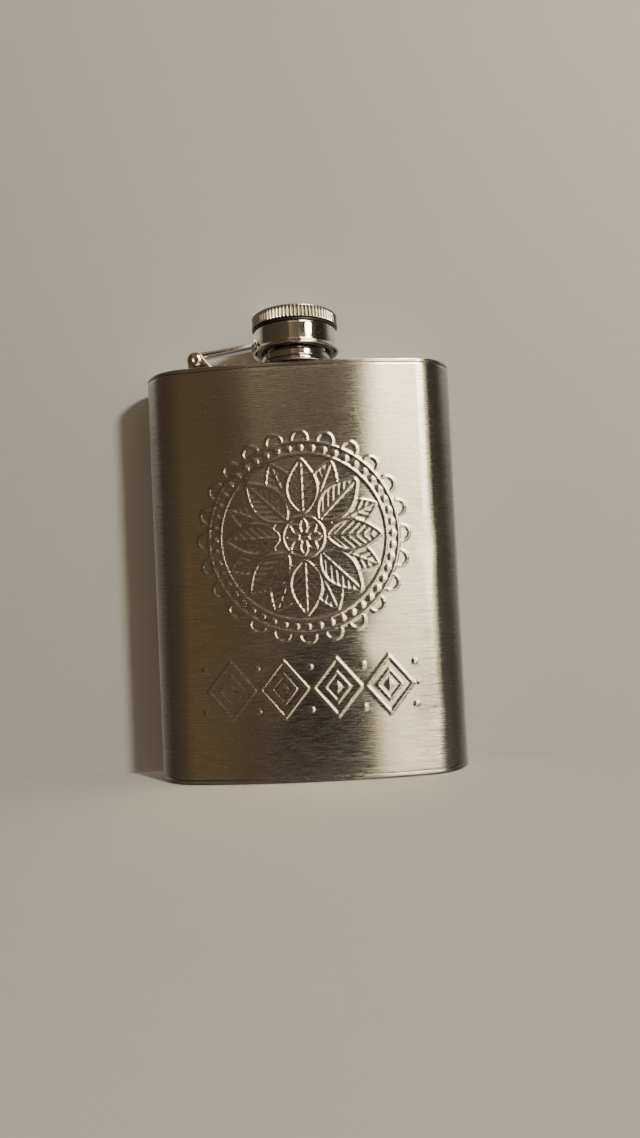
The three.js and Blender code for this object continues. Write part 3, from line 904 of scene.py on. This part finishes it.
def add_saddle(mesh, inner, outer, top):
    spread, drop = 0.44, 2.2
    turns = np.linspace(math.pi - spread, math.pi + spread, 25)
    ring = [(outer * math.cos(t), outer * math.sin(t)) for t in turns]
    ring += [(inner * math.cos(t), inner * math.sin(t)) for t in turns[::-1]]
    under = [mesh.verts.new((x, y, top - drop)) for x, y in ring]
    over = [mesh.verts.new((x, y, top + 0.02)) for x, y in ring]
    n = len(ring)
    mesh.faces.new(under[::-1])
    mesh.faces.new(over)
    for i in range(n):
        mesh.faces.new((under[i], under[(i + 1) % n], over[(i + 1) % n], over[i]))


def build_arm():
    inner, outer = SLEEVE_R + 0.02, SLEEVE_R + 0.9
    end_top = high("arm_strip").z
    slope = math.atan2(end_top - PIN_Z - KNUCKLE, -outer - PIN_X)
    mesh = bmesh.new()
    add_strip(mesh, -outer + 0.3, end_top, slope)
    add_saddle(mesh, inner, outer, end_top)
    ease_edges(mesh, 0.14)
    from_bmesh("arm", mesh, "arm_strip", STAMPED_STEEL)


def build_saddle_weld(name, node):
    centre = (low(node) + high(node)) / 2
    half = (high(node) - low(node)) / 2
    mesh = bmesh.new()
    bmesh.ops.create_icosphere(mesh, subdivisions=4, radius=1.0)
    for v in mesh.verts:
        ripple = 1 + 0.025 * math.sin(11 * v.co.z)
        v.co = Vector((v.co.x * half.x * ripple, v.co.y * half.y * ripple, v.co.z * half.z)) + centre
    from_bmesh(name, mesh, node, WELD_STEEL)


build_arm()
build_saddle_weld("saddle_dab_front", "saddle_weld_front")
build_saddle_weld("saddle_dab_back", "saddle_weld_back")


# %% [markdown]
# ## The sleeve and its washer
# The sleeve is thin drawn tube, mirror polished, with its lower lip flared outwards and its top turned
# in. A black nylon washer lies on it, so that the cap turns without scraping; its black is also painted
# shade for the gap under the head.

# %% Build the sleeve and the washer
def build_sleeve():
    base, crown = low("cap_sleeve").z, high("cap_sleeve").z
    lip = high("cap_sleeve").x
    sheet = 0.6
    bore = SLEEVE_R - sheet
    corners = [
        (lip - 0.5, base, 0.25), (lip, base + 0.2, 0.2), (lip - 0.05, base + 0.6, 0.3),
        (SLEEVE_R, base + 1.2, 0.8), (SLEEVE_R, crown, 0.45), (STOP_R, crown, 0.2),
        (STOP_R, crown - sheet, 0.2), (bore, crown - sheet, 0.2), (bore, base + 1.1, 0.6),
        (lip - 0.7, base + 0.25, 0.2),
    ]
    middle, half = (base + 1.2 + crown) / 2, (crown - base - 1.2) / 2

    def barrel(r, z, angle):
        """Drawing leaves the tube a hair fuller in its middle."""
        share = max(0, 1 - ((z - middle) / half) ** 2)
        return (r + 0.04 * share if r > SLEEVE_R - 0.05 else r), z

    piece = ("sleeve", "cap_sleeve", "polished_steel", MIRROR_STEEL)
    lathed(piece, corners, 7, 0.4, 200, barrel, 60)


def build_washer():
    lo, hi = low("slip_washer"), high("slip_washer")
    corners = [(STOP_R, lo.z, 0.12), (hi.x, lo.z, 0.2), (hi.x, hi.z, 0.2), (STOP_R, hi.z, 0.12)]
    lathed(("washer", "slip_washer", "black_plastic", BLACK_NYLON_AND_SHADE), corners)


build_sleeve()
build_washer()


# %% [markdown]
# ## The cap's head
# The head is a pressed cup. Its edge was rolled against a knurling wheel, which leaves rounded ribs
# with narrow grooves, and its top rim is rounded. The ribs could be boxes set round a disc, but a
# rolled rib has no flat side, so the cup's own skin dips between them. The band leans in a little
# towards its top, where it catches light from above.

# %% Build the head
KNURLS = 72
SIDES_PER_KNURL = 12
GROOVE = 0.42  # depth between two ribs
DRAFT = 0.07  # how much the band leans in for each millimetre of height


def build_head():
    lo, hi = low("cap_head"), high("cap_head")
    outer = hi.x
    crest = hi.z
    band_top = crest - 1.0
    sheet = 0.8
    inner = outer - 0.4 - sheet
    corners = [
        (inner, lo.z, 0.15), (outer, lo.z, 0.22), (outer, band_top, 0.25),
        (outer - 0.35, crest - 0.45, 0.45), (outer - 1.3, crest, 0.7),
        (outer - 3.2, crest - 0.05, 0.8), (outer - 4.0, crest - 0.28, 0.5), (0.01, crest - 0.2, 0),
        (0.01, crest - sheet, 0), (inner, crest - sheet, 0.4),
    ]

    def knurled(r, z, angle):
        share = (angle * KNURLS / (2 * math.pi)) % 1
        cut = GROOVE * (2 * abs(share - 0.5)) ** 1.6 + DRAFT * (z - lo.z)
        ends = min(1, max(0, (z - lo.z + 0.05) / 0.25), max(0, (band_top + 0.25 - z) / 0.5))
        return (r - cut * ends if r > outer - 0.36 else r), z

    piece = ("head", "cap_head", "knurled_steel", KNURL_STEEL)
    lathed(piece, corners, 6, 0.49, KNURLS * SIDES_PER_KNURL, knurled, 50)


build_head()


# %% [markdown]
# ## What the head holds
# Below the head hang the threaded insert, the ring that keeps it in the sleeve, the gasket that seals
# the spout, and the plug that holds them together. They show when the arm is swung over. The insert's
# thread is cut inwards from its bore by the same helix as the spout's.

# %% Build what the head holds
def build_insert():
    lo, hi = low("threaded_insert"), high("threaded_insert")
    bore = 10.6
    corners = [(bore, lo.z, 0.15), (hi.x, lo.z, 0.15), (hi.x, hi.z, 0.1), (bore, hi.z, 0.1)]
    cut = threaded(lo.z + 0.5, lo.z + 5.6, -0.4)

    def in_bore(r, z, angle):
        return cut(r, z, angle) if r < bore + 0.05 else (r, z)

    piece = ("insert", "threaded_insert", "insert_steel", SHADE_DARKENED_STEEL)
    lathed(piece, corners, longest=THREAD_STEP, shape=in_bore)


def build_ring_piece(piece, inner, ease):
    lo, hi = low(piece[1]), high(piece[1])
    corners = [(inner, lo.z, ease), (hi.x, lo.z, ease), (hi.x, hi.z, ease), (inner, hi.z, ease)]
    lathed(piece, corners)


def build_core():
    lo, hi = low("cap_core"), high("cap_core")
    waist = 10.5
    step = high("threaded_insert").z + 0.1
    corners = [
        (0.01, lo.z, 0), (waist, lo.z, 0.2), (waist, step, 0.1), (hi.x, step, 0.2),
        (hi.x, hi.z, 0.4), (0.01, hi.z, 0),
    ]
    lathed(("core", "cap_core", "white_plastic", WHITE_PLASTIC), corners, sides=120)


build_insert()
build_ring_piece(("retainer_ring", "retaining_ring", "hinge_steel", SHADE_DARKENED_STEEL), 11.15, 0.15)
build_ring_piece(("seal", "gasket", "silicone", MILKY_SILICONE), 3.0, 0.3)
build_core()


# %% [markdown]
# ## The stage
# A pale floor carries the flask, and a pale board stands close behind it, so that the flask's soft
# shadow falls beside it. Neither shows in the steel: polished metal is a mirror, and what it shows
# should come from the light alone. Both are clear from behind, so that the back and the underside can
# be seen too. The floor lies a hair low, because two faces in one place flicker.

# %% Build the floor and the board
REACH = 1.6  # metres from the middle to an edge
BOARD_Y = (BACK_Y + 0.4) * MM
FLOOR_Z = -0.2 * MM
FLOOR_TONE, BOARD_TONE = 0.65, 0.55


def flat(name, spot, material):
    """A square sheet. spot places a corner from its two directions, each -1 or 1."""
    corners = [spot(u * REACH, v * REACH) for u, v in ((-1, -1), (1, -1), (1, 1), (-1, 1))]
    mesh = bpy.data.meshes.new(name)
    mesh.from_pydata(corners, [], [(0, 1, 2, 3)])
    thing = bpy.data.objects.new(name, mesh)
    bpy.context.scene.collection.objects.link(thing)
    mesh.materials.append(material)
    thing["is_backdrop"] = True
    thing.visible_glossy = False
    thing.visible_diffuse = False
    thing.visible_transmission = False
    thing.visible_shadow = False


def on_floor(x, y):
    return x, y, FLOOR_Z


def on_board(x, z):
    return x, BOARD_Y, z


def pale_stage(name, tone):
    material, f = new_finish(name)
    cloud = f.noise((0.004, 0.004, 0.004), 2.0, 0.5)
    grain = f.noise((0.8, 0.8, 0.8), 2.0, 0.5)
    share = ((cloud - 0.5) * 0.5 + (grain - 0.5) * 0.12 + 0.5).clamped()
    dark = (tone * 0.95, tone * 0.92, tone * 0.82, 1)
    pale = (tone * 1.05, tone * 1.02, tone * 0.92, 1)
    colour = f.mixed(share, dark, pale)
    paint = f.node("ShaderNodeBsdfPrincipled", None, {"Base Color": colour, "Roughness": 0.7})
    behind = f.node("ShaderNodeNewGeometry", output=6)
    clear = f.node("ShaderNodeBsdfTransparent")
    seen = f.node("ShaderNodeMixShader", None, {0: behind, 1: paint, 2: clear})
    f.node("ShaderNodeOutputMaterial", None, {"Surface": seen})
    return material


flat("floor", on_floor, pale_stage("floor_paint", FLOOR_TONE))
flat("board", on_board, pale_stage("board_paint", BOARD_TONE))
print("The floor and the board are up")


# %% [markdown]
# ## The room that the steel shows
# Steel has hardly any colour of its own: it shows the room. A room could be built from walls and lamps,
# but a world painted by direction is quicker to tune and gives clean bands. Three numbers say where a
# direction points: `sideways` is 1 to the right, `depth` is 1 away behind the flask, and `rise` is 1
# straight up. A dim warm room on the left, a broad pale window on the right and a dark corner beyond
# it give the bowed front its dark, bright and dark bands. Each ramp below runs from left to right.

# %% Colours of the room
LOW_ROOM = [
    (0.0, (0.075, 0.056, 0.036)), (0.12, (0.11, 0.078, 0.043)), (0.28, (0.20, 0.128, 0.056)),
    (0.38, (0.10, 0.07, 0.037)), (0.44, (0.03, 0.025, 0.018)), (0.53, (0.025, 0.022, 0.018)),
    (0.58, (0.05, 0.045, 0.037)), (0.60, (0.11, 0.10, 0.083)), (0.89, (0.30, 0.28, 0.24)),
    (0.93, (0.14, 0.13, 0.10)), (1.0, (0.10, 0.09, 0.07)),
]
HIGH_ROOM = [
    (0.0, (0.075, 0.056, 0.036)), (0.22, (0.10, 0.08, 0.045)), (0.385, (0.12, 0.094, 0.056)),
    (0.395, (0.32, 0.235, 0.145)), (0.50, (0.23, 0.172, 0.105)), (0.575, (0.18, 0.15, 0.11)),
    (0.66, (0.20, 0.155, 0.10)), (0.70, (0.10, 0.075, 0.045)), (0.90, (0.09, 0.065, 0.04)),
    (0.94, (0.035, 0.032, 0.026)), (1.0, (0.05, 0.045, 0.036)),
]
TABLE = [
    (0.0, (0.14, 0.125, 0.10)), (0.35, (0.16, 0.142, 0.115)), (0.7, (0.30, 0.275, 0.23)),
    (1.0, (0.26, 0.24, 0.20)),
]
WINDOW = (1.95, 1.75, 1.12)
WINDOW_GLINT = (9.5, 8.5, 5.4, 1)
WALL_GLINT = (1.3, 1.15, 0.85, 1)
CEILING = (27.0, 24.2, 14.0, 1)
LAMP = (34.0, 31.5, 22.0, 1)
print("The front has", len(LOW_ROOM) + len(HIGH_ROOM) + len(TABLE), "stops")


# %% [markdown]
# ## The front half of the room
# The flask's front sees this half. The window is brightest near its top and dimmed low on its right,
# as by a curtain. Above it, a narrow strip is there for the leaning ribs of the cap, and the bright
# ceiling is smeared down the brushed wall. The lamp is a small ellipse: it is the glint on the sleeve.

# %% Paint the front half
def between(value, start, full, still, end):
    """1 from full to still, and 0 before start and after end."""
    return value.above(start, full) * (1 - value.above(still, end))


def ramp(f, stops, share):
    return f.node("ShaderNodeValToRGB", {"stops": stops}, {0: share})


def front_half(f, sideways, rise):
    share = sideways * 0.5 + 0.5
    room = f.mixed(rise.above(0.06, 0.26), ramp(f, LOW_ROOM, share), ramp(f, HIGH_ROOM, share))
    room = f.mixed(rise.above(-0.36, -0.5), room, ramp(f, TABLE, share))
    window = between(sideways, 0.225, 0.245, 0.74, 0.84) * between(rise, -0.7, -0.3, 0.20, 0.27)
    curtain = sideways.above(0.33, 0.52) * rise.above(0.03, -0.13)
    glow = 1.0 + rise.above(0.06, 0.22) * 2.6 - curtain * 0.93
    pane = f.node("ShaderNodeVectorMath", {"operation": "SCALE"}, {0: WINDOW, "Scale": glow})
    room = f.mixed(window, room, pane)
    strip = between(rise, 0.415, 0.435, 0.47, 0.50)
    room = f.mixed(strip * between(sideways, -0.3, -0.2, 0.15, 0.2), room, WALL_GLINT)
    room = f.mixed(strip * between(sideways, 0.235, 0.255, 0.50, 0.70), room, WINDOW_GLINT)
    ceiling = between(sideways, 0.24, 0.265, 0.50, 0.60) * between(rise, 0.48, 0.56, 0.8, 0.9)
    room = f.mixed(ceiling, room, CEILING)
    off_x, off_z = (sideways - 0.6) / 0.11, (rise - 0.33) / 0.06
    return f.mixed((off_x * off_x + off_z * off_z).above(1.15, 0.75), room, LAMP)


# %% [markdown]
# ## The back half of the room
# The corners and the back see this half, and so do round pieces near their edges. It gets paler with
# depth, more so on the right. High up it is pale all over, and low down it is dark.

# %% Paint the back half
LEFT_BACK = [
    (0.0, (0.07, 0.055, 0.038)), (0.24, (0.08, 0.067, 0.048)), (0.44, (0.125, 0.107, 0.082)),
    (0.69, (0.21, 0.18, 0.142)), (1.0, (0.25, 0.222, 0.18)),
]
RIGHT_BACK = [
    (0.0, (0.09, 0.08, 0.06)), (0.24, (0.10, 0.088, 0.066)), (0.39, (0.15, 0.135, 0.108)),
    (0.65, (0.26, 0.243, 0.205)), (0.87, (0.46, 0.44, 0.385)), (1.0, (0.72, 0.69, 0.62)),
]
PALE_BACK = (0.74, 0.70, 0.60, 1)
SHADED_BACK = (0.10, 0.085, 0.065, 1)
DARK_FOOT = (0.06, 0.05, 0.036, 1)
print("The back has", len(LEFT_BACK) + len(RIGHT_BACK), "stops")


def back_half(f, sideways, depth, rise):
    left, right = ramp(f, LEFT_BACK, depth), ramp(f, RIGHT_BACK, depth)
    room = f.mixed(sideways.above(-0.35, 0.35), left, right)
    room = f.mixed(rise.above(0.24, 0.31) * depth.above(0.12, 0.5), room, PALE_BACK)
    room = f.mixed(rise.above(-0.22, -0.3) * depth.above(0.78, 0.92), room, SHADED_BACK)
    return f.mixed(rise.above(-0.44, -0.6), room, DARK_FOOT)


# %% [markdown]
# ## One world, and a lamp for the shadow
# Only reflections see the two halves. The camera and every dull surface see one even light instead,
# so that the stage stays plain. That choice is lost when a world is sampled as if it were a lamp, so
# its sampling is turned off. A small soft lamp, high on the right, casts the flask's shadow.

# %% Build the world and the lamp
EVEN_LIGHT = (0.21, 0.17, 0.126, 1)
LAMP_PLACE = Vector((0.62, BOARD_Y - 0.73, 0.50))
LAMP_SIZE = 0.13
LAMP_WATTS = 9.6
LAMP_COLOUR = (1.0, 1.0, 0.92)


def build_world():
    world = bpy.data.worlds.new("room")
    bpy.context.scene.world = world
    world.use_nodes = True
    world.cycles.sampling_method = "NONE"
    world.node_tree.nodes.clear()
    f = Finish(world.node_tree)
    toward = f.node("ShaderNodeTexCoord", output=0)
    parts = [f.node("ShaderNodeSeparateXYZ", None, {0: toward}, output=i) for i in range(3)]
    sideways, depth, rise = parts
    front, back = front_half(f, sideways, rise), back_half(f, sideways, depth, rise)
    room = f.mixed(depth.above(-0.04, 0.04), front, back)
    is_camera = f.node("ShaderNodeLightPath")
    is_diffuse = f.node("ShaderNodeLightPath", output=2)
    colour = f.mixed((is_camera + is_diffuse).clamped(), room, EVEN_LIGHT)
    background = f.node("ShaderNodeBackground", None, {"Color": colour, "Strength": 1.0})
    f.node("ShaderNodeOutputWorld", None, {"Surface": background})


def build_lamp():
    lamp = bpy.data.lights.new("window", "AREA")
    lamp.shape = "DISK"
    lamp.size = LAMP_SIZE
    lamp.energy = LAMP_WATTS
    lamp.color = LAMP_COLOUR
    thing = bpy.data.objects.new("window", lamp)
    bpy.context.scene.collection.objects.link(thing)
    thing.location = LAMP_PLACE
    target = Vector((0, 0, TOP * MM / 2))
    thing.rotation_euler = (target - thing.location).to_track_quat("-Z", "Y").to_euler()
    thing.visible_camera = False
    thing.visible_glossy = False


build_world()
build_lamp()
print("The room and its lamp are lit")


# %% [markdown]
# ## The camera
# A phone held in the hand: a short lens, a quarter of a metre away, a touch below the middle, and
# tilted a little to one side.

# %% Build the camera
LENS = 25.0
DISTANCE = 247.0  # millimetres from the widest line of the sides
CAMERA_X = 6.7
CAMERA_HEIGHT = 54.35 / 123.2  # as a share of the body's height
TILT, ROLL, TURN = 91.78, 2.754, 0.672  # degrees

camera = bpy.data.objects.new("camera", bpy.data.cameras.new("camera"))
bpy.context.scene.collection.objects.link(camera)
camera.data.lens = LENS
camera.data.sensor_width = 36
camera.data.clip_start = 0.01
camera.location = (CAMERA_X * MM, (SIDE_Y - DISTANCE) * MM, CAMERA_HEIGHT * TOP * MM)
camera.rotation_euler = Euler([math.radians(v) for v in (TILT, ROLL, TURN)])
bpy.context.scene.camera = camera
print("The camera stands", DISTANCE, "mm away with a", LENS, "mm lens")


# %% [markdown]
# ## Measure the size
# The fine pieces must fill the same box as the working model.

# %% Measure the growth
new_low, new_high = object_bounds()
grown = [*(cad_low - new_low), *(new_high - cad_high)]
print("Grew by", [round(v / MM, 2) for v in grown], "mm")
